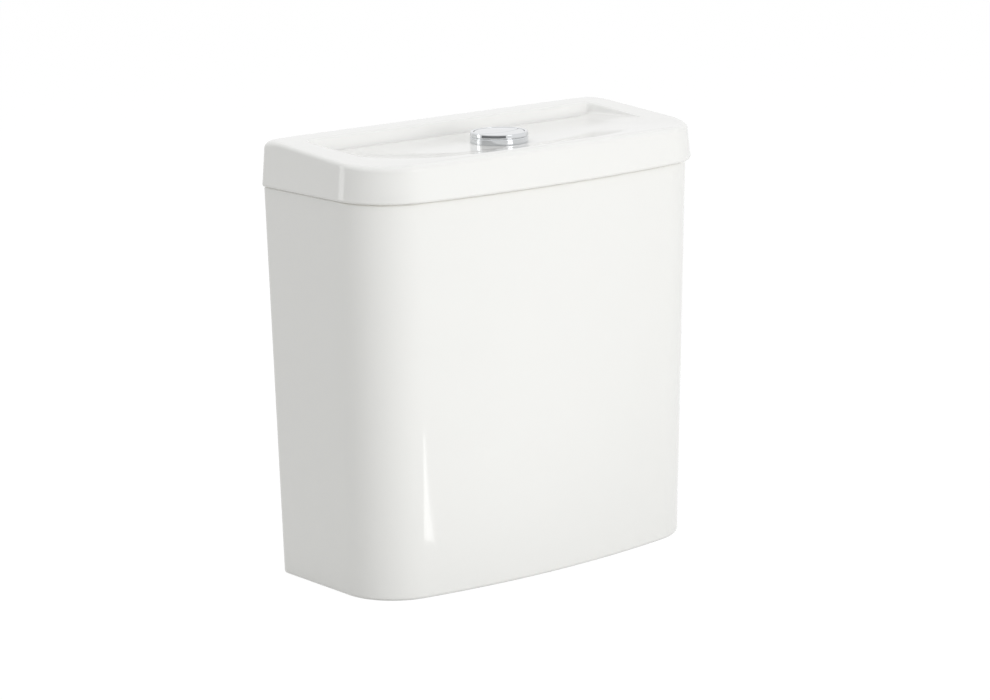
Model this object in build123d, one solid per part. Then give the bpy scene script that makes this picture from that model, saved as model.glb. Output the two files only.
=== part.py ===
"""Close-coupled toilet cistern: china tank and lift-off lid, two-part push button, flush valve, fill valve."""
from build123d import *
from math import asin, degrees, sqrt
import os

# Lengths are in millimetres. X runs to the right seen from the front, Y to the wall and Z up.
# The origin lies on the foot plane, under the middle of the lid's footprint, on the flush outlet's axis.

# General clearances
overrun = 20.0
fit_gap = 0.3
thread_gap = 0.2

# China body
lid_width = 370.0
lid_depth = 174.6
lid_bow = 16.8
lid_corner_radius = 57.0
back_corner_radius = 5.0
rim_height = 338.8
lid_side_draft = 3.6
lid_back_draft = 0.5
lid_overhang_side = 1.9
lid_overhang_front = 6.0
foot_side_setback = 5.7
foot_front_setback = 7.8
foot_back_setback = 2.6
foot_corner_narrowing = 2.9
foot_bow_growth = 3.6
china_wall = 9.0
foot_edge_radius = 3.0
rim_edge_radius = 2.0
cavity_corner_radius = 12.0
cavity_floor_radius = 12.0
recess_height = 44.0
recess_roof_radius = 8.0
floor_thickness = 10.0

# Lid crest and tray, as heights above the tank's rim
ridge_rise = 39.6
ridge_run = 17.0
front_rise = 32.0
crest_level_margin = 56.6
crest_blend_radius = 45.0
tray_rise = 27.6
tray_back_run = 22.5
tray_side_margin = 17.5
tray_front_margin = 16.5
tray_corner_radius = 40.0
tray_back_corner_radius = 12.0
tray_wall_angle = 30.0
tray_foot_radius = 7.0
ramp_button_gap = 1.5
ramp_end_margin = 17.6
ramp_end_drop = 0.6
lid_floor_thickness = 9.0
lid_edge_radius = 4.0
lid_lower_edge_radius = 2.5
lid_roof_radius = 8.0
lip_gap = 2.0
lip_width = 6.0
lip_depth = 7.0

# Push button, on the lid
button_offset = 5.2
housing_flange_radius = 25.0
housing_flange_height = 5.2
housing_floor = 1.2
housing_rim_wall = 2.8
seam_height = 0.5
seam_depth = 0.7
bezel_height = 3.5
bezel_wall = 3.2
cap_thickness = 2.2
cap_recess = 0.3
cap_edge_radius = 0.5
split_radius = 33.0
split_dip = 7.3
split_gap = 0.5
sleeve_radius = 19.0
sleeve_wall = 1.7
sleeve_length = 26.0
bridge_thickness = 3.0
bridge_width = 12.0
stem_radius = 3.0
stem_catch_width = 0.7
stem_catch_height = 2.0
spring_wall = 0.8
full_stem_x = 8.0
full_stem_y = 6.5
half_stem_x = 7.0
half_stem_y = 10.0
button_travel = 5.0
rod_radius = 2.0
rod_top_inset = 6.0
lid_hole_gap = 1.0
lid_washer_width = 6.0
lid_washer_thickness = 1.5
lid_nut_width = 6.5
lid_nut_height = 8.0
lid_nut_wing = 4.0
lid_nut_wing_width = 7.0
lid_nut_wing_count = 6

# Flush valve
tail_radius = 29.8
spigot_radius = 28.5
spigot_length = 22.0
outlet_radius = 25.0
tail_end_height = 8.0
outlet_hole_gap = 2.2
base_gasket_thickness = 3.0
base_gasket_width = 11.0
base_flange_radius = 42.0
base_flange_height = 5.0
seat_width = 2.5
seat_height = 3.0
basket_radius = 39.5
basket_wall = 5.9
basket_height = 55.0
window_width = 34.0
window_sill = 3.0
collar_height = 12.0
backnut_radius = 39.0
backnut_height = 12.0
backnut_notch = 3.0
backnut_notch_width = 9.0
backnut_notch_count = 8
pan_washer_width = 11.0
pan_washer_thickness = 19.0
bell_wall = 2.2
bell_height = 84.0
bell_insertion = 11.0
bell_flange_height = 2.5
bell_flange_width = 4.6
bell_top = 2.5
bell_window_width = 14.0
bell_window_height = 30.0
bell_window_drop = 12.0
bell_window_count = 3
socket_wall = 2.0
socket_height = 35.0
tube_radius = 15.0
tube_wall = 2.0
tube_top_height = 254.0
tube_lip_width = 2.0
tube_lip_height = 2.5
tube_flange_width = 7.0
tube_flange_height = 2.5
seal_radius = 30.0
seal_thickness = 3.0
float_shelf_height = 132.0
float_shelf_thickness = 3.0
float_shelf_width = 3.0
flush_float_radius = 27.0
flush_float_height = 40.0
flush_float_wall = 1.6
post_width = 9.0
post_depth = 5.0
post_back_y = 22.0
post_front_y = 25.0
deck_height = 262.0
deck_thickness = 4.0
deck_half_width = 20.0
deck_margin = 3.0
cheek_half_width = 12.0
cheek_height = 20.0
cheek_wall = 3.0
cheek_middle_wall = 5.0
cheek_top_radius = 4.0
rocker_width = 8.0
rocker_side_gap = 1.0
rocker_thickness = 5.0
rocker_pivot_x = 6.0
rocker_pivot_drop = 3.0
rocker_hub_radius = 4.5
rocker_pad_length = 4.0
half_arm_drop = 7.4
half_tip_cut = 2.4
rocker_height = 284.0
pin_radius = 2.0
pin_gap = 0.06
tube_lift = 6.5
ear_gap = 1.0
ear_thickness = 3.0
ear_reach = 5.0
yoke_height = 244.0
yoke_thickness = 4.0

# Fill valve
fill_side_margin = 63.0
fill_y = 8.0
inlet_radius = 10.478
inlet_end_height = 3.0
inlet_bore_radius = 7.0
inlet_bore_depth = 33.0
inlet_thread_length = 29.0
thread_relief_depth = 0.7
thread_relief_height = 1.0
waterway_radius = 4.0
inlet_hole_gap = 2.0
fill_gasket_width = 6.0
fill_gasket_thickness = 3.0
fill_flange_radius = 17.5
fill_flange_height = 5.0
fill_foot_radius = 12.8
fill_foot_height = 16.0
riser_radius = 8.0
riser_top_height = 262.0
fill_nut_radius = 16.0
fill_nut_height = 10.0
fill_nut_rib = 1.6
fill_nut_rib_count = 12
outer_tube_radius = 13.2
outer_tube_wall = 1.8
outer_tube_slot_width = 6.0
outer_tube_slot_height = 14.0
outer_tube_slot_sill = 4.0
outer_tube_slot_count = 4
filter_wall = 0.8
filter_length = 24.0
filter_rim = 1.2
filter_slot_width = 1.6
filter_slot_count = 6
head_radius = 19.0
head_height = 20.0
head_socket_depth = 4.0
head_chamber_radius = 14.0
head_chamber_depth = 4.0
diaphragm_thickness = 1.5
diaphragm_inset = 1.5
cap_height = 4.5
pilot_radius = 6.0
pilot_depth = 3.0
fill_float_radius = 30.0
fill_float_gap = 0.6
fill_float_wall = 1.8
fill_float_height = 44.0
fill_float_drop = 52.0
fill_float_travel = 8.0
float_ear_thickness = 6.0
float_ear_width = 10.0
link_offset = 36.0
link_radius = 2.0
link_collar_radius = 3.6
link_collar_height = 2.0
link_collar_gap = 3.0
lever_pivot_offset = 12.0
lever_pivot_rise = 6.0
lever_width = 9.0
lever_thickness = 4.0
lever_tip = 8.0
lever_slot_inner = 3.5
lever_slot_outer = 5.0
lever_nose_radius = 2.5
lever_nose_height = 1.8
lever_lug_wall = 3.0
lever_lug_radius = 4.0
lever_pin_radius = 1.5

# Coupling bolts to the pan
bolt_spacing = 150.0
bolt_y = 0.0
bolt_radius = 4.0
bolt_shank_radius = 3.8
bolt_end_height = 2.0
bolt_head_flats = 13.0
bolt_head_height = 5.3
bolt_hole_radius = 6.5
cone_washer_radius = 12.5
cone_washer_flange = 4.0
cone_depth = 6.0
cone_gap = 0.4
cone_taper = 1.0
steel_washer_radius = 9.0
steel_washer_thickness = 1.6
bolt_nut_flats = 13.0
bolt_nut_height = 6.5

# Heights and places that follow from the sizes above
floor_height = recess_height + floor_thickness
back_y = lid_depth / 2
front_y = -lid_depth / 2
tray_height = rim_height + tray_rise
roof_height = tray_height - lid_floor_thickness
button_y = -button_offset
full_x = full_stem_x
full_y = button_y + full_stem_y
half_x = -half_stem_x
half_y = button_y - half_stem_y
fill_x = lid_width / 2 - fill_side_margin
rocker_lift_arm = tube_lift * (full_x + rocker_pivot_x) / button_travel
base_flange_low = floor_height + base_gasket_thickness
base_flange_top = base_flange_low + base_flange_height
seat_top = base_flange_top + seat_height
basket_top = base_flange_top + basket_height
basket_bore = basket_radius - basket_wall
bell_radius = basket_bore - fit_gap
bell_low = basket_top - bell_insertion
bell_top_height = bell_low + bell_height
fill_flange_low = floor_height + fill_gasket_thickness
fill_flange_top = fill_flange_low + fill_flange_height
fill_shoulder = fill_flange_top + fill_foot_height
head_top = riser_top_height - head_socket_depth + head_height
cap_low = head_top + diaphragm_thickness
cap_top = cap_low + cap_height


def arc_radius(half_chord, sagitta):
    """Radius of the arc that rises by sagitta over twice half_chord."""
    return (half_chord**2 + sagitta**2) / (2 * sagitta)


# Plan outlines: half width, back Y, front Y, radius of the bowed front, front and back corner radii
lid_foot = (
    lid_width / 2, back_y, front_y, arc_radius(lid_width / 2, lid_bow), lid_corner_radius, back_corner_radius,
)
lid_crown = (
    lid_width / 2 - lid_side_draft, back_y - lid_back_draft, front_y + lid_side_draft,
    lid_foot[3], lid_corner_radius - lid_side_draft, back_corner_radius,
)
tank_rim = (
    lid_width / 2 - lid_overhang_side, back_y, front_y + lid_overhang_front,
    lid_foot[3], lid_corner_radius - lid_overhang_side, back_corner_radius,
)
tank_foot = (
    tank_rim[0] - foot_side_setback, back_y - foot_back_setback, tank_rim[2] + foot_front_setback,
    arc_radius(tank_rim[0] - foot_side_setback, lid_bow + foot_bow_growth),
    tank_rim[4] - foot_corner_narrowing, back_corner_radius,
)


def inset(outline, amount, back_corner):
    """The same outline drawn in by amount, with its own back corners."""
    half_width, back, front, bow, corner, _ = outline
    return half_width - amount, back - amount, front + amount, bow - amount, corner - amount, back_corner


def between(low, high, share):
    """Outline at a share of the way from low to high."""
    return tuple(a + (b - a) * share for a, b in zip(low, high))


def tank_outline(height, amount=0, back_corner=back_corner_radius):
    """Outline of the tank at a height, drawn in by amount."""
    return inset(between(tank_foot, tank_rim, height / rim_height), amount, back_corner)


def plan(outline, height):
    """Face of an outline at a height: straight back and sides, bowed front, rounded corners."""
    half_width, back, front, bow, corner, back_corner = outline
    side_end = front + bow - sqrt(bow**2 - half_width**2)
    with BuildSketch(Plane.XY.offset(height)) as sketch:
        with BuildLine():
            Polyline((-half_width, side_end), (-half_width, back), (half_width, back), (half_width, side_end))
            ThreePointArc((half_width, side_end), (0, front), (-half_width, side_end))
        make_face()
        fillet(sketch.vertices().group_by(Axis.Y)[0], corner)
        fillet(sketch.vertices().group_by(Axis.Y)[-1], back_corner)
    return sketch.sketch


def side_profile(points, radii=()):
    """Slab across the whole body with a profile of (Y, Z) points, some corners rounded as {index: radius}."""
    with BuildPart() as part:
        with BuildSketch(Plane.YZ) as sketch:
            with BuildLine():
                Polyline(*points, close=True)
            make_face()
            for index, radius in radii:
                near = Vector(points[index][0], points[index][1])
                fillet(sketch.vertices().sort_by_distance(near)[0], radius)
        extrude(amount=lid_width, both=True)
    return part.part


def turned(points, centre=(0, 0)):
    """Solid of revolution about a vertical axis, from its half section of (radius, height) points."""
    with BuildPart() as part:
        with BuildSketch(Plane.XZ):
            with BuildLine():
                Polyline(*points, close=True)
            make_face()
        revolve(axis=Axis.Z)
    return Pos(centre[0], centre[1], 0) * part.part


def rod(radius, low, high, centre=(0, 0)):
    """Upright cylinder from one height to another."""
    return Pos(centre[0], centre[1], (low + high) / 2) * Cylinder(radius, high - low)


def ring(outer, inner, low, high, centre=(0, 0)):
    """Upright ring from one height to another."""
    return rod(outer, low, high, centre) - rod(inner, low - overrun, high + overrun, centre)


def block(x, y, z):
    """Box from its (low, high) pairs along X, Y and Z."""
    size = [high - low for low, high in (x, y, z)]
    return Pos(sum(x) / 2, sum(y) / 2, sum(z) / 2) * Box(*size)


def prism(shape, low, high, centre=(0, 0)):
    """Upright prism of a flat shape from one height to another."""
    return Pos(centre[0], centre[1], low) * extrude(shape, amount=high - low)


def side_plate(points, y_low, y_high):
    """Plate standing across the depth, with an outline of (X, Z) points."""
    with BuildPart() as part:
        with BuildSketch(Plane.XZ.offset(-y_low)):
            with BuildLine():
                Polyline(*points, close=True)
            make_face()
        extrude(amount=-(y_high - y_low))
    return part.part


def cross_pin(radius, x, z, y_low, y_high):
    """Pin lying along Y."""
    return Pos(x, (y_low + y_high) / 2, z) * Rot(90, 0, 0) * Cylinder(radius, y_high - y_low)


def make_tank():
    """Tapered shell with a raised floor, a skirt below it and holes for the valves and bolts."""
    shell = loft([plan(tank_outline(0), 0), plan(tank_outline(rim_height), rim_height)], ruled=True)
    faces = shell.faces().sort_by(Axis.Z)
    shell = fillet(faces[0].edges(), foot_edge_radius)
    shell = fillet(shell.faces().sort_by(Axis.Z)[-1].edges(), rim_edge_radius)
    top = rim_height + overrun
    cavity = loft([
        plan(tank_outline(floor_height, china_wall, cavity_corner_radius), floor_height),
        plan(tank_outline(top, china_wall, cavity_corner_radius), top),
    ], ruled=True)
    cavity = fillet(cavity.faces().sort_by(Axis.Z)[0].edges(), cavity_floor_radius)
    recess = loft([
        plan(tank_outline(-overrun, china_wall, cavity_corner_radius), -overrun),
        plan(tank_outline(recess_height, china_wall, cavity_corner_radius), recess_height),
    ], ruled=True)
    recess = fillet(recess.faces().sort_by(Axis.Z)[-1].edges(), recess_roof_radius)
    holes = [
        rod(tail_radius + outlet_hole_gap, 0, rim_height),
        rod(inlet_radius + inlet_hole_gap, 0, rim_height, (fill_x, fill_y)),
    ]
    for side in (-1, 1):
        holes.append(rod(bolt_hole_radius, 0, rim_height, (side * bolt_spacing / 2, bolt_y)))
    return shell - cavity - recess - holes


def make_lid():
    """Lid with a high back ridge, falling side rims, a scooped tray and a locating lip inside the tank's rim."""
    crown = rim_height + ridge_rise + overrun
    draft = (crown - rim_height) / ridge_rise
    outer = loft([plan(lid_foot, rim_height), plan(between(lid_foot, lid_crown, draft), crown)], ruled=True)
    outer = fillet(outer.faces().sort_by(Axis.Z)[0].edges(), lid_lower_edge_radius)
    crest = [
        (back_y + overrun, rim_height + ridge_rise),
        (back_y - ridge_run, rim_height + ridge_rise),
        (front_y + crest_level_margin, rim_height + front_rise),
        (front_y - overrun, rim_height + front_rise),
        (front_y - overrun, crown + overrun),
        (back_y + overrun, crown + overrun),
    ]
    outer = outer - side_profile(crest, [(1, crest_blend_radius), (2, crest_blend_radius)])
    upper = [edge for edge in outer.edges() if edge.bounding_box().min.Z > rim_height + tray_rise]
    outer = fillet([
        edge for edge in upper
        if abs(edge.center().X) > edge.length / 2 - lid_edge_radius or abs(edge.center().Y) > back_y - ridge_run
    ], lid_edge_radius)
    tray = extrude(
        plan((
            lid_width / 2 - tray_side_margin, back_y - tray_back_run, front_y + tray_front_margin,
            lid_foot[3], tray_corner_radius, tray_back_corner_radius,
        ), tray_height),
        amount=overrun, taper=-tray_wall_angle,
    )
    fold_y = button_y - housing_flange_radius - ramp_button_gap
    ramp = [
        (fold_y, tray_height),
        (front_y + ramp_end_margin, rim_height + front_rise - ramp_end_drop),
        (front_y - overrun, rim_height + front_rise - ramp_end_drop),
        (front_y - overrun, tray_height - overrun),
        (fold_y, tray_height - overrun),
    ]
    tray = tray - side_profile(ramp)
    low_edges = [
        edge for edge in tray.edges()
        if edge.bounding_box().max.Z < rim_height + front_rise
        and not (abs(edge.center().X) < fit_gap and abs(edge.center().Y - fold_y) < fit_gap)
    ]
    tray = fillet(low_edges, tray_foot_radius)
    rim_inset = china_wall + lip_gap
    inner = tank_outline(rim_height, rim_inset + lip_width, cavity_corner_radius)
    cavity = extrude(plan(inner, rim_height - overrun), amount=roof_height - rim_height + overrun)
    cavity = fillet(cavity.faces().sort_by(Axis.Z)[-1].edges(), lid_roof_radius)
    lip = extrude(
        plan(tank_outline(rim_height, rim_inset, cavity_corner_radius), rim_height - lip_depth),
        amount=lip_depth + lid_lower_edge_radius,
    )
    hole = rod(sleeve_radius + lid_hole_gap, rim_height, crown, (0, button_y))
    return outer + lip - cavity - tray - hole


def make_button():
    """Housing and bezel in the lid, the two caps with stems and rods, their springs, the washer and the nut."""
    centre = (0, button_y)
    flange_top = tray_height + housing_flange_height
    bezel_top = flange_top + seam_height + bezel_height
    bowl = housing_flange_radius - housing_rim_wall
    sleeve_low = tray_height - sleeve_length
    bore = sleeve_radius - sleeve_wall
    floor_top = tray_height + housing_floor
    housing = turned([
        (bore, sleeve_low), (sleeve_radius, sleeve_low), (sleeve_radius, tray_height),
        (housing_flange_radius, tray_height), (housing_flange_radius, flange_top),
        (bowl, flange_top), (bowl, floor_top), (bore, floor_top),
    ], centre)
    bridge = block((-sleeve_radius, sleeve_radius), (-bridge_width, bridge_width),
                   (sleeve_low, sleeve_low + bridge_thickness))
    bridge = Pos(0, button_y, 0) * bridge & rod(bore + sleeve_wall / 2, 0, tray_height, centre)
    housing = housing + bridge
    stems = {"full": (full_x, full_y), "half": (half_x, half_y)}
    for place in stems.values():
        housing = housing - rod(stem_radius + fit_gap, 0, rim_height + tray_rise, place)
    bezel_inner = housing_flange_radius - bezel_wall
    bezel = turned([
        (bezel_inner, flange_top), (housing_flange_radius - seam_depth, flange_top),
        (housing_flange_radius - seam_depth, flange_top + seam_height),
        (housing_flange_radius, flange_top + seam_height),
        (housing_flange_radius, bezel_top - cap_edge_radius),
        (housing_flange_radius - cap_edge_radius, bezel_top), (bezel_inner, bezel_top),
    ], centre)
    cap_top = bezel_top - cap_recess
    cap_low = cap_top - cap_thickness
    disc = rod(bezel_inner - fit_gap, cap_low, cap_top, centre)
    split = (0, button_y - split_dip + split_radius)
    outline = {
        "full": disc & rod(split_radius - split_gap / 2, 0, bezel_top, split),
        "half": disc - rod(split_radius + split_gap / 2, 0, bezel_top, split),
    }
    pieces = {"button_housing": housing, "button_bezel": bezel}
    spring_bore = stem_radius + fit_gap
    for name, place in stems.items():
        stem_low = sleeve_low - fit_gap - stem_catch_height
        stem = ring(stem_radius, rod_radius + thread_gap, stem_low, cap_low, place)
        catch = ring(stem_radius + stem_catch_width, rod_radius + thread_gap, stem_low, sleeve_low - fit_gap, place)
        pieces[name + "_flush_cap"] = outline[name] + stem + catch
        pieces[name + "_cap_spring"] = ring(
            spring_bore + spring_wall, spring_bore, sleeve_low + bridge_thickness, cap_low, place)
        tip = rocker_height + fit_gap
        shaft = rod(rod_radius, tip + rod_radius, cap_low - rod_top_inset, place)
        pieces[name + "_push_rod"] = shaft + Pos(place[0], place[1], tip + rod_radius) * Sphere(rod_radius)
    washer_outer = sleeve_radius + lid_washer_width
    washer_low = roof_height - lid_washer_thickness
    pieces["lid_washer"] = ring(washer_outer, sleeve_radius + fit_gap, washer_low, roof_height, centre)
    nut_low = washer_low - lid_nut_height
    nut_outer = sleeve_radius + lid_nut_width
    nut = ring(nut_outer, sleeve_radius + thread_gap, nut_low, washer_low, centre)
    wing = block((sleeve_radius + lid_nut_width / 2, nut_outer + lid_nut_wing),
                 (-lid_nut_wing_width / 2, lid_nut_wing_width / 2), (nut_low, washer_low))
    for index in range(lid_nut_wing_count):
        nut = nut + Pos(0, button_y, 0) * Rot(0, 0, index * 360 / lid_nut_wing_count) * wing
    pieces["lid_nut"] = nut
    return pieces


def make_flush_base():
    """Outlet with its threaded tail and slotted basket, its gasket and backnut, and the washer to the pan."""
    low = base_flange_low
    spigot_top = tail_end_height + spigot_length
    base = turned([
        (outlet_radius, tail_end_height), (spigot_radius, tail_end_height), (spigot_radius, spigot_top),
        (tail_radius, spigot_top), (tail_radius, low), (base_flange_radius, low),
        (base_flange_radius, base_flange_top), (outlet_radius + seat_width, base_flange_top),
        (outlet_radius + seat_width, seat_top), (outlet_radius, seat_top),
    ])
    basket = ring(basket_radius, basket_bore, base_flange_top, basket_top)
    for angle in (0, 90):
        window = block((-overrun - basket_radius, basket_radius + overrun), (-window_width / 2, window_width / 2),
                       (base_flange_top + window_sill, basket_top - collar_height))
        basket = basket - Rot(0, 0, angle) * window
    gasket = ring(tail_radius + thread_gap + base_gasket_width, tail_radius + thread_gap, floor_height, low)
    nut = ring(backnut_radius, tail_radius + thread_gap, recess_height - backnut_height, recess_height)
    for index in range(backnut_notch_count):
        notch = block((backnut_radius - backnut_notch, backnut_radius + overrun),
                      (-backnut_notch_width / 2, backnut_notch_width / 2),
                      (recess_height - backnut_height - overrun, recess_height + overrun))
        nut = nut - Rot(0, 0, index * 360 / backnut_notch_count) * notch
    washer_bore = backnut_radius + fit_gap
    washer = ring(washer_bore + pan_washer_width, washer_bore, recess_height - pan_washer_thickness, recess_height)
    return {
        "valve_base": base + basket, "valve_base_gasket": gasket,
        "valve_backnut": nut, "pan_coupling_washer": washer,
    }


def make_tower():
    """Bell that locks on the basket, with windows and two sockets for the rocker frame."""
    inner = bell_radius - bell_wall
    top = bell_top_height
    flange = bell_radius + bell_flange_width
    tower = turned([
        (inner, bell_low), (bell_radius, bell_low), (bell_radius, basket_top), (flange, basket_top),
        (flange, basket_top + bell_flange_height), (bell_radius, basket_top + bell_flange_height),
        (bell_radius, top), (tube_radius + fit_gap, top), (tube_radius + fit_gap, top - bell_top),
        (inner, top - bell_top),
    ])
    window_top = top - bell_window_drop
    window = block((tube_radius + fit_gap, bell_radius + overrun), (-bell_window_width / 2, bell_window_width / 2),
                   (window_top - bell_window_height, window_top))
    for index in range(bell_window_count):
        tower = tower - Rot(0, 0, index * 360 / bell_window_count) * window
    for y in (post_back_y, -post_front_y):
        half_x_size = post_width / 2 + fit_gap
        half_y_size = post_depth / 2 + fit_gap
        solid = block((-half_x_size - socket_wall, half_x_size + socket_wall),
                      (y - half_y_size - socket_wall, y + half_y_size + socket_wall), (top, top + socket_height))
        hollow = block((-half_x_size, half_x_size), (y - half_y_size, y + half_y_size),
                       (top, top + socket_height + overrun))
        tower = tower + (solid - hollow)
    return tower


def make_rocker_frame():
    """Two posts, a deck and three cheeks that hold the rockers' pins."""
    frame = block((-deck_half_width, deck_half_width),
                  (-post_front_y - post_depth / 2 - deck_margin, post_back_y + post_depth / 2 + deck_margin),
                  (deck_height, deck_height + deck_thickness))
    for y in (post_back_y, -post_front_y):
        frame = frame + block((-post_width / 2, post_width / 2), (y - post_depth / 2, y + post_depth / 2),
                              (bell_top_height, deck_height))
    deck_top = deck_height + deck_thickness
    outline = [
        (-cheek_half_width, deck_top), (cheek_half_width, deck_top),
        (cheek_half_width, deck_top + cheek_height - cheek_top_radius),
        (cheek_half_width - cheek_top_radius, deck_top + cheek_height),
        (-cheek_half_width + cheek_top_radius, deck_top + cheek_height),
        (-cheek_half_width, deck_top + cheek_height - cheek_top_radius),
    ]
    for low, high in cheek_spans():
        frame = frame + side_plate(outline, low, high)
    for x, (low, high) in zip((-rocker_pivot_x, rocker_pivot_x), pin_spans()):
        frame = frame - cross_pin(pin_radius, x, rocker_height - rocker_pivot_drop, low, high)
    return frame


def cheek_spans():
    """Low and high Y of the front, middle and back cheeks, each clear of the rockers beside it."""
    half_front = half_y - rocker_width / 2 - rocker_side_gap
    full_back = full_y + rocker_width / 2 + rocker_side_gap
    middle = (half_y + full_y) / 2
    return [
        (half_front - cheek_wall, half_front),
        (middle - cheek_middle_wall / 2, middle + cheek_middle_wall / 2),
        (full_back, full_back + cheek_wall),
    ]


def pin_spans():
    """Low and high Y of the full rocker's pin and of the half rocker's pin."""
    front, middle, back = cheek_spans()
    centre = sum(middle) / 2
    return [(centre, back[1]), (front[0], centre)]


def make_rockers():
    """The two levers that turn a press on a rod into a lift of the tube, and their pins."""
    pivot_z = rocker_height - rocker_pivot_drop
    low = rocker_height - rocker_thickness
    pivot = rocker_pivot_x
    tip = pivot + rocker_lift_arm
    full = side_plate([
        (-tip, low), (full_x + rocker_pad_length, low),
        (full_x + rocker_pad_length, rocker_height), (-tip, rocker_height),
    ], full_y - rocker_width / 2, full_y + rocker_width / 2)
    half = side_plate([
        (half_x - rocker_pad_length, low), (pivot, low), (tip - half_tip_cut, low - half_arm_drop),
        (tip, rocker_height - half_arm_drop), (pivot + rocker_hub_radius, rocker_height - rocker_pivot_drop),
        (pivot, rocker_height), (half_x - rocker_pad_length, rocker_height),
    ], half_y - rocker_width / 2, half_y + rocker_width / 2)
    pins = []
    levers = []
    for lever, x, y, (pin_low, pin_high) in zip((full, half), (-pivot, pivot), (full_y, half_y), pin_spans()):
        hub = cross_pin(rocker_hub_radius, x, pivot_z, y - rocker_width / 2, y + rocker_width / 2)
        bore = cross_pin(pin_radius + pin_gap, x, pivot_z, y - rocker_width, y + rocker_width)
        levers.append(lever + hub - bore)
        pins.append(cross_pin(pin_radius, x, pivot_z, pin_low, pin_high))
    return {"full_rocker": levers[0], "half_rocker": levers[1], "rocker_pins": Compound(pins)}


def make_overflow_tube():
    """Tube that lifts the seal: lips round the seal, a shelf for the float, and a yoke with two ears on top."""
    bore = tube_radius - tube_wall
    seal_top = seat_top + seal_thickness
    lip_low = seat_top - tube_lip_height
    shelf = float_shelf_height
    tube = turned([
        (bore, lip_low), (tube_radius + tube_lip_width, lip_low), (tube_radius + tube_lip_width, seat_top),
        (tube_radius, seat_top), (tube_radius, seal_top), (tube_radius + tube_flange_width, seal_top),
        (tube_radius + tube_flange_width, seal_top + tube_flange_height),
        (tube_radius, seal_top + tube_flange_height), (tube_radius, shelf),
        (tube_radius + float_shelf_width, shelf), (tube_radius + float_shelf_width, shelf + float_shelf_thickness),
        (tube_radius, shelf + float_shelf_thickness), (tube_radius, tube_top_height), (bore, tube_top_height),
    ])
    ear_inner = rocker_pivot_x + rocker_lift_arm + ear_gap
    ear_outer = ear_inner + ear_thickness
    half_width = rocker_width / 2
    yoke_top = yoke_height + yoke_thickness
    arms = block((-ear_outer, 0), (full_y - half_width, full_y + half_width), (yoke_height, yoke_top))
    arms = arms + block((0, ear_outer), (half_y - half_width, half_y + half_width), (yoke_height, yoke_top))
    arms = arms + block((-tube_radius, tube_radius), (half_y - half_width, full_y + half_width),
                        (yoke_height, yoke_top))
    arms = arms - rod(tube_radius - tube_wall / 2, 0, rim_height)
    tube = tube + arms
    ledge_low = rocker_height + fit_gap
    for side, y in ((-1, full_y), (1, half_y)):
        post = block((ear_inner, ear_outer), (y - half_width, y + half_width),
                     (yoke_height, ledge_low + ear_thickness))
        ledge = block((ear_inner - ear_reach - ear_gap, ear_outer), (y - half_width, y + half_width),
                      (ledge_low, ledge_low + ear_thickness))
        ear = post + ledge
        if side < 0:
            ear = mirror(ear, about=Plane.YZ)
        tube = tube + ear
    return tube


def make_tube_fittings():
    """Soft seal at the tube's foot and the hollow float on its shelf."""
    seal = ring(seal_radius, tube_radius + thread_gap, seat_top, seat_top + seal_thickness)
    low = float_shelf_height + float_shelf_thickness
    high = low + flush_float_height
    inner = tube_radius + thread_gap
    wall = flush_float_wall
    cup = turned([
        (inner, low), (inner + wall, low), (inner + wall, high - wall), (flush_float_radius - wall, high - wall),
        (flush_float_radius - wall, low), (flush_float_radius, low), (flush_float_radius, high), (inner, high),
    ])
    return {"flush_seal": seal, "flush_float": cup}


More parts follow.
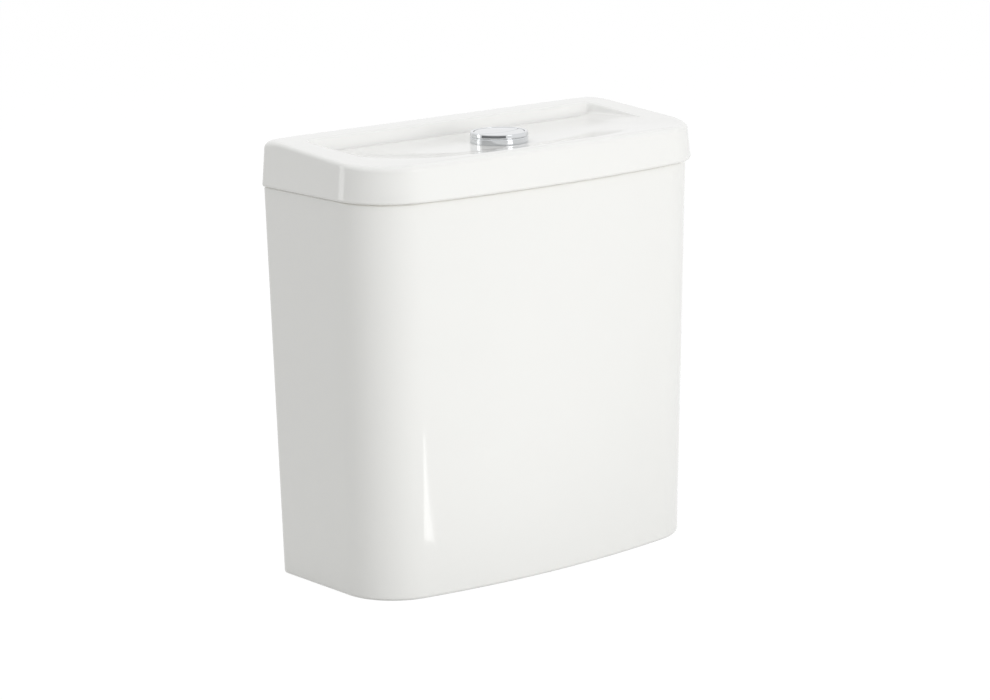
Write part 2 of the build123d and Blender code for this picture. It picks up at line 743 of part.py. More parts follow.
def make_fill_valve():
    """Inlet, riser, head, float and lever of the fill valve."""
    centre = (fill_x, fill_y)
    relief_low = inlet_end_height + inlet_thread_length
    relief_high = relief_low + thread_relief_height
    body = turned([
        (inlet_bore_radius, inlet_end_height), (inlet_radius, inlet_end_height), (inlet_radius, relief_low),
        (inlet_radius - thread_relief_depth, relief_low), (inlet_radius - thread_relief_depth, relief_high),
        (inlet_radius, relief_high), (inlet_radius, fill_flange_low),
        (fill_flange_radius, fill_flange_low), (fill_flange_radius, fill_flange_top),
        (fill_foot_radius, fill_flange_top), (fill_foot_radius, fill_shoulder), (riser_radius, fill_shoulder),
        (riser_radius, riser_top_height), (waterway_radius, riser_top_height),
        (waterway_radius, inlet_end_height + inlet_bore_depth),
        (inlet_bore_radius, inlet_end_height + inlet_bore_depth),
    ], centre)
    gasket_bore = inlet_radius + thread_gap
    gasket = ring(gasket_bore + fill_gasket_width, gasket_bore, floor_height, fill_flange_low, centre)
    nut_low = recess_height - fill_nut_height
    nut = ring(fill_nut_radius, gasket_bore, nut_low, recess_height, centre)
    for index in range(fill_nut_rib_count):
        rib = block((fill_nut_radius - fill_nut_rib, fill_nut_radius + fill_nut_rib),
                    (-fill_nut_rib, fill_nut_rib), (nut_low, recess_height))
        nut = nut + Pos(fill_x, fill_y, 0) * Rot(0, 0, index * 360 / fill_nut_rib_count) * rib
    head_low = riser_top_height - head_socket_depth
    sleeve = ring(outer_tube_radius, outer_tube_radius - outer_tube_wall, fill_shoulder, head_low, centre)
    slot_low = fill_shoulder + outer_tube_slot_sill
    for index in range(outer_tube_slot_count):
        slot = block((0, outer_tube_radius + overrun), (-outer_tube_slot_width / 2, outer_tube_slot_width / 2),
                     (slot_low, slot_low + outer_tube_slot_height))
        sleeve = sleeve - Pos(fill_x, fill_y, 0) * Rot(0, 0, index * 360 / outer_tube_slot_count) * slot
    filter_radius = inlet_bore_radius - thread_gap
    mesh_radius = filter_radius - filter_rim
    strainer = turned([
        (0, inlet_end_height + filter_length), (mesh_radius, inlet_end_height + filter_length),
        (mesh_radius, inlet_end_height + filter_rim), (filter_radius, inlet_end_height + filter_rim),
        (filter_radius, inlet_end_height), (mesh_radius - filter_wall, inlet_end_height),
        (mesh_radius - filter_wall, inlet_end_height + filter_length - filter_wall),
        (0, inlet_end_height + filter_length - filter_wall),
    ], centre)
    for index in range(filter_slot_count):
        slot = block((mesh_radius / 2, inlet_bore_radius), (-filter_slot_width / 2, filter_slot_width / 2),
                     (inlet_end_height + 2 * filter_rim, inlet_end_height + filter_length - 2 * filter_wall))
        strainer = strainer - Pos(fill_x, fill_y, 0) * Rot(0, 0, index * 360 / filter_slot_count) * slot
    head = turned([
        (riser_radius + thread_gap, head_low), (head_radius, head_low), (head_radius, head_top),
        (head_chamber_radius, head_top), (head_chamber_radius, head_top - head_chamber_depth),
        (waterway_radius, head_top - head_chamber_depth), (waterway_radius, riser_top_height),
        (riser_radius + thread_gap, riser_top_height),
    ], centre)
    diaphragm = rod(head_radius - diaphragm_inset, head_top, cap_low, centre)
    cap = rod(head_radius, cap_low, cap_top, centre)
    cap = cap - rod(pilot_radius, cap_top - pilot_depth, cap_top + overrun, centre)
    pivot_x = fill_x - lever_pivot_offset
    pivot_z = cap_top + lever_pivot_rise
    lug_inner = lever_width / 2 + fit_gap
    lug_outer = lug_inner + lever_lug_wall
    for side in (-1, 1):
        near, far = sorted((side * lug_inner, side * lug_outer))
        lug = block((pivot_x - lever_lug_radius, pivot_x + lever_lug_radius), (fill_y + near, fill_y + far),
                    (cap_top - pilot_depth, pivot_z))
        lug = lug + cross_pin(lever_lug_radius, pivot_x, pivot_z, fill_y + near, fill_y + far)
        cap = cap + lug
    cap = cap - cross_pin(lever_pin_radius, pivot_x, pivot_z, fill_y - lug_outer, fill_y + lug_outer)
    link_x = fill_x - link_offset
    half_thick = lever_thickness / 2
    half_width = lever_width / 2
    lever = block((link_x - lever_tip, fill_x + lever_nose_radius), (fill_y - half_width, fill_y + half_width),
                  (pivot_z - half_thick, pivot_z + half_thick))
    lever = lever + cross_pin(half_thick + lever_pin_radius, pivot_x, pivot_z, fill_y - half_width, fill_y + half_width)
    lever = lever + rod(lever_nose_radius, pivot_z - half_thick - lever_nose_height, pivot_z, centre)
    slot_half = link_radius + fit_gap
    lever = lever - block((link_x - lever_slot_outer, link_x + lever_slot_inner),
                          (fill_y - slot_half, fill_y + slot_half), (pivot_z - overrun, pivot_z + overrun))
    lever = lever - cross_pin(lever_pin_radius + pin_gap, pivot_x, pivot_z, fill_y - lever_width, fill_y + lever_width)
    float_high = head_low - fill_float_travel - fill_float_drop + fill_float_height
    float_low = float_high - fill_float_height
    inner = outer_tube_radius + fill_float_gap
    wall = fill_float_wall
    cup = turned([
        (inner, float_low), (inner + wall, float_low), (inner + wall, float_high - wall),
        (fill_float_radius - wall, float_high - wall), (fill_float_radius - wall, float_low),
        (fill_float_radius, float_low), (fill_float_radius, float_high), (inner, float_high),
    ], centre)
    ear_low = float_high - float_ear_thickness
    ear = block((link_x - link_collar_radius, fill_x - fill_float_radius + wall),
                (fill_y - float_ear_width / 2, fill_y + float_ear_width / 2), (ear_low, float_high))
    cup = cup + ear - rod(link_radius + thread_gap, 0, rim_height, (link_x, fill_y))
    link_low = ear_low - link_collar_height
    lift_low = pivot_z - half_thick - link_collar_gap - link_collar_height
    stop_low = pivot_z + half_thick + link_collar_gap
    link = rod(link_radius, link_low, stop_low + link_collar_height, (link_x, fill_y))
    for low in (link_low, float_high, lift_low, stop_low):
        link = link + rod(link_collar_radius, low, low + link_collar_height, (link_x, fill_y))
    pin = cross_pin(lever_pin_radius, pivot_x, pivot_z, fill_y - lug_outer, fill_y + lug_outer)
    return {
        "fill_valve_body": body, "fill_valve_gasket": gasket, "fill_valve_backnut": nut,
        "inlet_strainer": strainer, "fill_valve_sleeve": sleeve, "fill_valve_head": head,
        "fill_valve_diaphragm": diaphragm, "fill_valve_cap": cap, "float_lever": lever,
        "float_lever_pin": pin, "fill_float": cup, "float_link_rod": link,
    }


def hexagon(flats):
    """Hexagon with the given distance across its flats."""
    return RegularPolygon(flats / 2, 6, major_radius=False)


def make_bolts():
    """The two coupling bolts, relieved above their stud ends, with cone washers, steel washers and nuts."""
    washer_top = floor_height + cone_washer_flange
    head_low = washer_top + steel_washer_thickness
    nut_top = recess_height - steel_washer_thickness
    stud_top = nut_top - bolt_nut_height - thread_relief_height
    bolts, cones, washers, nuts = [], [], [], []
    for side in (-1, 1):
        place = (side * bolt_spacing / 2, bolt_y)
        head = prism(hexagon(bolt_head_flats), head_low, head_low + bolt_head_height, place)
        shank = rod(bolt_shank_radius, stud_top, head_low, place)
        bolts.append(rod(bolt_radius, bolt_end_height, stud_top, place) + shank + head)
        bore = bolt_radius + thread_gap
        cone_top = bolt_hole_radius - cone_gap
        cones.append(turned([
            (bore, floor_height - cone_depth), (cone_top - cone_taper, floor_height - cone_depth),
            (cone_top, floor_height), (cone_washer_radius, floor_height), (cone_washer_radius, washer_top),
            (bore, washer_top),
        ], place))
        washers.append(ring(steel_washer_radius, bore, washer_top, head_low, place))
        washers.append(ring(steel_washer_radius, bore, nut_top, recess_height, place))
        nut = prism(hexagon(bolt_nut_flats), nut_top - bolt_nut_height, nut_top, place)
        nuts.append(nut - rod(bore, 0, recess_height, place))
    return {
        "coupling_bolts": Compound(bolts), "cone_washers": Compound(cones),
        "steel_washers": Compound(washers), "coupling_nuts": Compound(nuts),
    }


def all_pieces():
    """Every node of the cistern by name."""
    pieces = {"tank": make_tank(), "lid": make_lid()}
    pieces.update(make_button())
    pieces.update(make_flush_base())
    pieces["valve_tower"] = make_tower()
    pieces["rocker_frame"] = make_rocker_frame()
    pieces.update(make_rockers())
    pieces["overflow_tube"] = make_overflow_tube()
    pieces.update(make_tube_fittings())
    pieces.update(make_fill_valve())
    pieces.update(make_bolts())
    return pieces


os.makedirs("parts", exist_ok=True)
full_arm = full_x + rocker_pivot_x
half_arm = rocker_pivot_x - half_x
print("full rocker turns", round(degrees(asin(button_travel / full_arm)), 3), "degrees")
print("half rocker turns", round(degrees(asin(button_travel / half_arm)), 3), "degrees")
print("float lever turns", round(degrees(asin(fill_float_travel / (link_offset - lever_pivot_offset))), 3), "degrees")
for node, solid in all_pieces().items():
    export_step(solid, os.path.join("parts", node + ".step"))
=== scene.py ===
"""Builds the looks of a close-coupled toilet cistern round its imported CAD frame."""
import bpy
from math import atan2, asin, ceil, cos, hypot, pi, radians, sin, sqrt, tan
from bpy.props import FloatProperty, FloatVectorProperty, IntProperty, PointerProperty
from mathutils import Matrix, Vector


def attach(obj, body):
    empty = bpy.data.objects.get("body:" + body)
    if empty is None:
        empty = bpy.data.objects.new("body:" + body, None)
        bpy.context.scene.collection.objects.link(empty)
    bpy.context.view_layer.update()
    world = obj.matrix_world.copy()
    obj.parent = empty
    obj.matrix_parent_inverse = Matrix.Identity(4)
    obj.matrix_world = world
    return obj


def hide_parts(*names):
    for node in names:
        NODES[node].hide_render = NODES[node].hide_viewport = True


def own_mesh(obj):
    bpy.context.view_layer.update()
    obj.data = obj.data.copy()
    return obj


bl_info = {
    "name": "Toilet Cistern",
    "version": (1, 0, 0),
    "blender": (4, 5, 0),
    "location": "3D View > Sidebar > Cistern",
    "description": "Glazed china cistern with a two-part push button, its valves and its coupling bolts",
    "category": "Object",
}

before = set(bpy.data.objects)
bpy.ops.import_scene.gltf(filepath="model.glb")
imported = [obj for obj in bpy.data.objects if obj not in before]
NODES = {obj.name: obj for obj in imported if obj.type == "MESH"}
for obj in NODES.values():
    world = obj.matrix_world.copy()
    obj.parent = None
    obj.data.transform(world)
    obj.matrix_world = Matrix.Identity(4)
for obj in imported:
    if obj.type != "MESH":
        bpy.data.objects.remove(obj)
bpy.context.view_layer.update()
MM = 0.001

# Plan outlines in millimetres: half width, back, front, radius of the bowed front, front corner, back corner
LID_FOOT = (185.0, 87.3, -87.3, 1027.0, 57.0, 5.0)
LID_CROWN = (181.4, 86.8, -83.7, 1027.0, 53.4, 5.0)
TANK_RIM = (183.1, 87.3, -81.3, 1027.0, 55.1, 5.0)
TANK_FOOT = (177.4, 84.7, -73.5, 781.5, 52.2, 5.0)

# Steps round half an outline: bowed front, front corner, side, back corner and back
BOW_STEPS = 40
CORNER_STEPS = 26
SIDE_STEPS = 28
BACK_CORNER_STEPS = 8
BACK_STEPS = 40
TURN_STEPS = 96
ROUND_STEPS = 6

# Heights and places that the CAD gives, in millimetres
FLOOR = 54.0
RECESS_ROOF = 44.0
TRAY_FLOOR = 366.4
LID_ROOF = 357.4
LIP_LOW = 331.8
FLANGE_TOP = 371.6
BEZEL_TOP = 375.6
CAP_TOP = 375.3
CAP_LOW = 373.1
BUTTON = (0.0, -5.2)
STEMS = {"full": (8.0, 1.3), "half": (-7.0, -15.2)}
SPRING_LOW = 343.4
OUTLET = (0.0, 0.0)
INLET = (122.0, 8.0)
BOLTS = ((-75.0, 0.0), (75.0, 0.0))

# Radii of the holes through the tank's floor, and how far the drill reaches past it, in millimetres
OUTLET_HOLE = 32.0
INLET_HOLE = 12.478
BOLT_HOLE = 6.5
DRILL_REACH = 20

# Angle from which an edge between two faces is sharp
SHARP_ANGLE = radians(38)


def length(name, description, millimetres):
    """Length property, written in millimetres and kept in metres."""
    return FloatProperty(name=name, description=description, default=millimetres * MM, min=0, unit="LENGTH")


def colour(name, description, code):
    """Colour property from an sRGB hex code."""
    return FloatVectorProperty(
        name=name, description=description, default=linear(code), size=3, min=0, max=1, subtype="COLOR",
    )


def linear(code):
    """Linear colour of an sRGB hex code."""
    channels = [int(code[i:i + 2], 16) / 255 for i in (0, 2, 4)]
    return tuple(c / 12.92 if c <= 0.04045 else ((c + 0.055) / 1.055) ** 2.4 for c in channels)


def mm(value):
    """A kept length in millimetres."""
    return value / MM


class ChinaSettings(bpy.types.PropertyGroup):
    """Sizes and glaze of the tank and its lid."""

    rim_height: length("Rim height", "Height of the tank's rim, where the lid rests", 338.8)
    wall: length("Wall", "Thickness of the china", 9)
    foot_radius: length("Foot rounding", "Rounding of the tank's outer foot edge", 3)
    rim_radius: length("Rim rounding", "Rounding of the tank's rim", 2)
    floor_radius: length("Floor rounding", "Rounding between the walls and the floor inside", 12)
    ridge_rise: length("Ridge rise", "Height of the lid's back ridge above the rim", 39.6)
    front_rise: length("Front rise", "Height of the lid's front edge above the rim, at its middle", 33)
    corner_fall: length(
        "Corner fall", "How much lower the lid's front corners are than its front middle", 2.3,
    )
    front_edge: length("Front edge rounding", "Rounding of the lid's top edge along the front", 5.5)
    side_edge: length("Side edge rounding", "Rounding of the lid's top edge along the sides and back", 3.5)
    glaze: colour("Glaze", "Colour of the white glaze", "F3F3F1")
    biscuit: colour("Biscuit", "Colour of the bare fired body, where there is no glaze", "E4DED2")


class ButtonSettings(bpy.types.PropertyGroup):
    """Sizes and finish of the push button."""

    radius: length("Trim radius", "Outer radius of the button's trim", 25)
    cap_radius: length("Cap radius", "Outer radius of the two caps together", 21.5)
    split_radius: length("Split radius", "Radius of the arc that parts the two caps", 33)
    split_dip: length("Split dip", "How far the arc's middle lies in front of the button's centre", 7.3)
    split_gap: length("Split gap", "Width of the gap between the caps", 0.5)
    edge: length("Edge rounding", "Rounding of the caps' edges", 0.5)
    chrome: colour("Chrome", "Colour of the bright plating", "D9DBDD")


class FittingSettings(bpy.types.PropertyGroup):
    """Threads, springs and colours of the valves and bolts."""

    tail_pitch: length("Tail pitch", "Thread pitch of the flush valve's tail", 3)
    inlet_pitch: length(
        "Inlet pitch", "Thread pitch of the fill valve's inlet, 14 threads to the inch", 1.814,
    )
    bolt_pitch: length("Bolt pitch", "Thread pitch of the coupling bolts", 1.25)
    rod_pitch: length("Rod pitch", "Thread pitch of the push rods", 0.8)
    wire: length("Spring wire", "Radius of the cap springs' wire", 0.3)
    coils: IntProperty(
        name="Spring coils", description="Working coils of a cap spring", default=9, min=3, max=20,
    )
    acetal: colour("Acetal", "Colour of the moulded valve parts", "E9E8E3")
    float_blue: colour("Floats", "Colour of the moulded floats", "6F8FA8")
    rubber: colour("Rubber", "Colour of the seals", "1C1C1E")
    foam: colour("Foam", "Colour of the pan washer's foam", "2B2B2D")
    steel: colour("Steel", "Colour of the stainless steel", "C4C6C8")


class StageSettings(bpy.types.PropertyGroup):
    """Floor, lamps and camera."""

    floor_size: length("Floor size", "Side of the square floor", 12000)
    paper: colour("Paper", "Colour of the floor and the backdrop", "FFFFFF")
    bounce: colour("Bounce", "How pale the floor is for the light that it gives back to the object", "C6C6C3")
    ambient: FloatProperty(
        name="Ambient", description="Light from the white surroundings", default=0.55, min=0,
    )
    shadow: FloatProperty(
        name="Shadow", description="Share of the floor that shows its own shading", default=0.07, min=0,
        max=1,
    )
    lens: FloatProperty(
        name="Lens", description="Focal length of the camera", default=118.87, min=1, unit="CAMERA",
    )


def add(tree, kind, inputs=(), **settings):
    """Adds a node with its settings; inputs gives each socket a value or another node's output."""
    node = tree.nodes.new("ShaderNode" + kind)
    for name, value in settings.items():
        setattr(node, name, value)
    for socket, value in dict(inputs).items():
        if isinstance(value, bpy.types.NodeSocket):
            tree.links.new(value, node.inputs[socket])
        else:
            node.inputs[socket].default_value = value
    return node


def per(millimetres):
    """Texture scale at which one feature is this many millimetres wide."""
    return 1 / (millimetres * MM)


def opaque(value):
    """A colour with full alpha."""
    return (*value, 1.0)


# What each finish is made of. tint is how far the colour wanders, over patches of patch millimetres; gloss is
# the range of roughness; grain is the width of the relief's features and relief its height, in millimetres.
FINISHES = {
    # Vitreous china, dipped in white glaze and fired: a wet gloss over faint ripples where the glaze ran
    "glazed_vitreous_china": dict(tint=0.015, patch=55, gloss=(0.07, 0.11), grain=16, relief=0.02, ior=1.52),
    # The same body bare, where it stood in the kiln: chalky and slightly sandy
    "biscuit_china": dict(tint=0.08, patch=12, gloss=(0.7, 0.9), grain=0.9, relief=0.05, ior=1.5),
    # Polished plastic plated with bright chromium: a mirror with hardly any orange peel
    "bright_chrome_plating": dict(
        tint=0.01, patch=8, gloss=(0.05, 0.08), grain=2.5, relief=0.0012, metallic=1.0,
    ),
    # Moulded acetal: a waxy, slightly translucent white with the fine texture of an eroded mould
    "moulded_acetal": dict(
        tint=0.03, patch=20, gloss=(0.32, 0.42), grain=0.5, relief=0.012, ior=1.48, wax=0.15,
    ),
    # Moulded polypropylene floats: satin and waxy
    "moulded_polypropylene": dict(
        tint=0.05, patch=16, gloss=(0.36, 0.46), grain=0.6, relief=0.015, ior=1.49, wax=0.1,
    ),
    # Moulded EPDM rubber: dull black with a dusty bloom in patches
    "moulded_epdm_rubber": dict(tint=0.35, patch=6, gloss=(0.6, 0.8), grain=0.7, relief=0.03, ior=1.52),
    # Closed-cell polyurethane foam: dull and pitted with cells, drawn a little coarser than they are
    "polyurethane_foam": dict(
        tint=0.3, patch=4, gloss=(0.85, 0.95), grain=1.4, relief=0.25, ior=1.5, cells=True,
    ),
    # Cold-rolled stainless steel: grey metal with fine rolling marks
    "stainless_steel": dict(tint=0.05, patch=5, gloss=(0.22, 0.34), grain=0.25, relief=0.004, metallic=1.0),
}


def bare_material(name):
    """New material with an empty node tree, and that tree."""
    material = bpy.data.materials.new(name)
    material.use_nodes = True
    material.node_tree.nodes.clear()
    return material, material.node_tree


def make_material(
    name, base, tint, patch, gloss, grain, relief, ior=None, metallic=0.0, wax=0.0, cells=False,
):
    """Principled material whose colour, gloss and relief come from patterns fixed to the piece."""
    if name in bpy.data.materials:
        return bpy.data.materials[name]
    material, tree = bare_material(name)
    place = add(tree, "TexCoord").outputs["Object"]
    patches = add(tree, "TexNoise", {"Vector": place, "Scale": per(patch), "Detail": 3.0, "Roughness": 0.6})
    # The colour sockets of a Mix node come after those of its other types, as its inputs 6 and 7
    shade = add(tree, "Mix", {
        0: patches.outputs["Fac"], 6: opaque(base), 7: opaque(tuple(c * (1 - tint) for c in base)),
    }, data_type="RGBA")
    polish = add(tree, "MapRange", {
        "Value": patches.outputs["Fac"], "From Min": 0.3, "From Max": 0.7,
        "To Min": gloss[0], "To Max": gloss[1],
    })
    if cells:
        pattern = add(tree, "TexVoronoi", {"Vector": place, "Scale": per(grain)}).outputs["Distance"]
    else:
        pattern = add(tree, "TexNoise", {"Vector": place, "Scale": per(grain), "Detail": 2.0}).outputs["Fac"]
    bump = add(tree, "Bump", {"Height": pattern, "Distance": relief * MM, "Strength": 1.0})
    shader = add(tree, "BsdfPrincipled", {
        "Base Color": shade.outputs[2], "Roughness": polish.outputs["Result"],
        "Normal": bump.outputs["Normal"], "Metallic": metallic,
    })
    if ior:
        shader.inputs["IOR"].default_value = ior
    if wax:
        shader.inputs["Subsurface Weight"].default_value = wax
        shader.inputs["Subsurface Radius"].default_value = (1.0, 1.0, 1.0)
        shader.inputs["Subsurface Scale"].default_value = 1.5 * MM
    add(tree, "OutputMaterial", {"Surface": shader.outputs["BSDF"]})
    return material


def finish_of(name):
    """The material of a finish, in the colour that the settings give it."""
    scene = bpy.context.scene
    colours = {
        "glazed_vitreous_china": scene.china.glaze,
        "biscuit_china": scene.china.biscuit,
        "bright_chrome_plating": scene.button.chrome,
        "moulded_acetal": scene.fittings.acetal,
        "moulded_polypropylene": scene.fittings.float_blue,
        "moulded_epdm_rubber": scene.fittings.rubber,
        "polyurethane_foam": scene.fittings.foam,
        "stainless_steel": scene.fittings.steel,
    }
    return make_material(name, tuple(colours[name]), **FINISHES[name])


def spread(low, high, steps):
    """Evenly spread values from low to high, both included."""
    return [low + (high - low) * i / steps for i in range(steps + 1)]


def mix(low, high, share):
    """Tuple at a share of the way from low to high."""
    return tuple(a + (b - a) * share for a, b in zip(low, high))


def outline(shape, inset=0.0, least_corner=2.0):
    """Points round a plan outline drawn in by inset: always as many, from the front middle rightwards."""
    half, back, front, bow, corner, back_corner = shape
    half, back, front, bow = half - inset, back - inset, front + inset, bow - inset
    corner, back_corner = max(corner - inset, least_corner), max(back_corner - inset, least_corner)
    middle = front + bow
    across = half - corner
    behind = middle - sqrt((bow - corner) ** 2 - across ** 2)
    lean = asin(across / (bow - corner))
    points = [(bow * sin(a), middle - bow * cos(a)) for a in spread(0, lean, BOW_STEPS)]
    points += [
        (across + corner * sin(a), behind - corner * cos(a)) for a in spread(lean, pi / 2, CORNER_STEPS)[1:]
    ]
    points += [(half, y) for y in spread(behind, back - back_corner, SIDE_STEPS)[1:]]
    points += [
        (half - back_corner + back_corner * cos(a), back - back_corner + back_corner * sin(a))
        for a in spread(0, pi / 2, BACK_CORNER_STEPS)[1:]
    ]
    points += [(x, back) for x in spread(half - back_corner, 0, BACK_STEPS)[1:]]
    return points + [(-x, y) for x, y in points[-2:0:-1]]


def level(points, height):
    """Ring of plan points at one height."""
    return [(x, y, height) for x, y in points]


def loft(rings, closed=False):
    """Vertices and quads through rings of matched points; closed joins the last ring to the first."""
    count = len(rings[0])
    vertices = [point for ring in rings for point in ring]
    faces = []
    for r in range(len(rings) if closed else len(rings) - 1):
        a, b = r * count, (r + 1) % len(rings) * count
        faces += [(a + i, a + (i + 1) % count, b + (i + 1) % count, b + i) for i in range(count)]
    return vertices, faces


def joined(*parts):
    """Several lists of vertices and faces as one."""
    vertices, faces = [], []
    for more_vertices, more_faces in parts:
        start = len(vertices)
        vertices += more_vertices
        faces += [tuple(i + start for i in face) for face in more_faces]
    return vertices, faces


def rounded(corners):
    """Closed profile through (a, b, radius) corners, each rounded by its radius."""
    points = []
    for before, here, after in zip(corners[-1:] + corners[:-1], corners, corners[1:] + corners[:1]):
        corner, radius = Vector(here[:2]), here[2]
        if not radius:
            points.append(tuple(corner))
            continue
        back = (Vector(before[:2]) - corner).normalized()
        ahead = (Vector(after[:2]) - corner).normalized()
        half = back.angle(ahead) / 2
        centre = corner + (back + ahead).normalized() * radius / sin(half)
        start = corner + back * radius / tan(half) - centre
        end = corner + ahead * radius / tan(half) - centre
        for share in spread(0, 1, ROUND_STEPS):
            points.append(tuple(centre + start.lerp(end, share).normalized() * radius))
    return points


def turned(profile, centre=(0.0, 0.0), steps=TURN_STEPS):
    """Ring-shaped solid from a closed half section of (radius, height) points."""
    angles = [2 * pi * i / steps for i in range(steps)]
    return loft([
        [(centre[0] + r * cos(a), centre[1] + r * sin(a), z) for a in angles] for r, z in profile
    ], closed=True)


def prism(points, low, high):
    """Upright prism of a flat outline."""
    count = len(points)
    vertices, faces = loft([level(points, low), level(points, high)])
    return vertices, faces + [tuple(range(count - 1, -1, -1)), tuple(range(count, 2 * count))]


def new_piece(name, solid, finish, body, replaced=(), weighted=True):
    """Makes a piece from vertices in millimetres, rides it on its body and hides the CAD nodes that it stands
    for.
    """
    mesh = bpy.data.meshes.new(name)
    mesh.from_pydata([tuple(c * MM for c in vertex) for vertex in solid[0]], [], solid[1])
    mesh.update()
    mesh.shade_smooth()
    mesh.set_sharp_from_angle(angle=SHARP_ANGLE)
    mesh.materials.append(finish_of(finish))
    piece = bpy.data.objects.new(name, mesh)
    bpy.context.scene.collection.objects.link(piece)
    if weighted:
        normals = piece.modifiers.new("even_flats", "WEIGHTED_NORMAL")
        normals.keep_sharp = True
    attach(piece, body)
    if replaced:
        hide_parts(*replaced)
    return piece


def outward(piece):
    """Turns the piece's faces to look outward."""
    mesh = piece.data
    points = mesh.vertices
    volume = sum(
        points[p.vertices[0]].co.cross(points[p.vertices[i]].co).dot(points[p.vertices[i + 1]].co)
        for p in mesh.polygons for i in range(1, len(p.vertices) - 1)
    )
    if volume < 0:
        mesh.flip_normals()


def drill(piece, places):
    """Cuts upright holes of (x, y, radius, low, high) through a piece and keeps the result as its mesh."""
    cutters = []
    for x, y, radius, low, high in places:
        circle = [(x + radius * cos(a), y + radius * sin(a)) for a in spread(0, 2 * pi, TURN_STEPS)[:-1]]
        vertices, faces = prism(circle, low, high)
        mesh = bpy.data.meshes.new("drill")
        mesh.from_pydata([tuple(c * MM for c in vertex) for vertex in vertices], [], faces)
        cutter = bpy.data.objects.new("drill", mesh)
        bpy.context.scene.collection.objects.link(cutter)
        modifier = piece.modifiers.new("hole", "BOOLEAN")
        modifier.operation = "DIFFERENCE"
        modifier.solver = "EXACT"
        modifier.object = cutter
        cutters.append(cutter)
    bpy.context.view_layer.update()
    evaluated = piece.evaluated_get(bpy.context.evaluated_depsgraph_get())
    cut = bpy.data.meshes.new_from_object(evaluated)
    piece.modifiers.clear()
    piece.data = cut
    for cutter in cutters:
        bpy.data.objects.remove(cutter, do_unlink=True)


def smooth_max(a, b, reach):
    """The larger of two values, with the step between them eased over reach."""
    near = max(reach - abs(a - b), 0) / reach
    return max(a, b) + near * near * reach / 4


def smooth_min(a, b, reach):
    """The smaller of two values, with the step between them eased over reach."""
    return -smooth_max(-a, -b, reach)


# Shape of the lid's top, in millimetres. RIM_FALL is a slope, and RAMP_START, RAMP_EASE, SIDE_LIFT,
# SIDE_START and WALL_BAND are shares.
RIDGE_FRONT = 70.3
RIM_FALL = 0.079
CROWN_REACH = 160
CREST_REACH = 2.0
RIDGE_REACH = 1.0
LEAST_WALL = 0.001
TRAY_HALF_WIDTH = 154.0
TRAY_BACK = 58.0
TRAY_CORNER = 4.0
TRAY_SLOPE = radians(76)
WALL_ROUNDING = 3.0
RAMP_DEPTH = 132.7
RAMP_HALF_WIDTH = 190.0
RAMP_START = 0.457
RAMP_EASE = 0.25
SIDE_LIFT = 0.7
SIDE_START = 0.6
SIDE_REACH = 110.0
TOP_REACH = 50.0
WALL_BAND = (0.38, 0.66)
CORNER_EDGE = 4.5
CORNER_REACH = 30.0


def crest_rise(x, y, china):
    """Height of the lid's rim above the tank's: level at the back, falling at the sides, crowned in front."""
    front = mm(china.front_rise) - mm(china.corner_fall) * min(abs(x) / CROWN_REACH, 1) ** 2
    falling = mm(china.ridge_rise) - RIM_FALL * (RIDGE_FRONT - y)
    return smooth_min(smooth_max(falling, front, CREST_REACH), mm(china.ridge_rise), RIDGE_REACH)


def wall_rise(x, y, height):
    """Height, above the tray's surface, of its steep side and back walls with their rounded foot and top."""
    beside = abs(x) - (TRAY_HALF_WIDTH - TRAY_CORNER)
    behind = y - (TRAY_BACK - TRAY_CORNER)
    out = hypot(max(beside, 0), max(behind, 0)) + min(max(beside, behind), 0) - TRAY_CORNER
    radius = min(WALL_ROUNDING, height / (2 - 2 * cos(TRAY_SLOPE)))
    reach = radius * tan(TRAY_SLOPE / 2)
    end = height / tan(TRAY_SLOPE)
    if out <= -reach:
        return 0.0
    if out >= end + reach:
        return height
    if out < reach * cos(TRAY_SLOPE):
        return radius - sqrt(radius ** 2 - (out + reach) ** 2)
    if out > end - reach * cos(TRAY_SLOPE):
        return height - radius + sqrt(radius ** 2 - (end + reach - out) ** 2)
    return out * tan(TRAY_SLOPE)


def ramp_rise(x, y, height):
    """Height of the tray's surface above its floor: it sweeps up to the rim in front and beside it."""
    deep = max(TRAY_BACK - y, 0) / RAMP_DEPTH
    wide = (abs(x) / RAMP_HALF_WIDTH) ** 4
    start = RAMP_START * (1 - SIDE_START * min(abs(x) / SIDE_REACH, 1) ** 2)
    share = min(max((deep ** 2 + wide * (1 + SIDE_LIFT * deep) - start) / (1 - start), 0), 1)
    if share < RAMP_EASE:
        return height * share ** 2 / (2 * RAMP_EASE * (1 - RAMP_EASE))
    if share > 1 - RAMP_EASE:
        return height * (1 - (1 - share) ** 2 / (2 * RAMP_EASE * (1 - RAMP_EASE)))
    return height * (share - RAMP_EASE / 2) / (1 - RAMP_EASE)


def top_rise(x, y, china):
    """Height of the lid's upper side above the tank's rim."""
    tray = TRAY_FLOOR - mm(china.rim_height)
    crest = crest_rise(x, y, china)
    surface = tray + ramp_rise(x, y, crest - tray)
    return surface + wall_rise(x, y, max(crest - surface, LEAST_WALL))


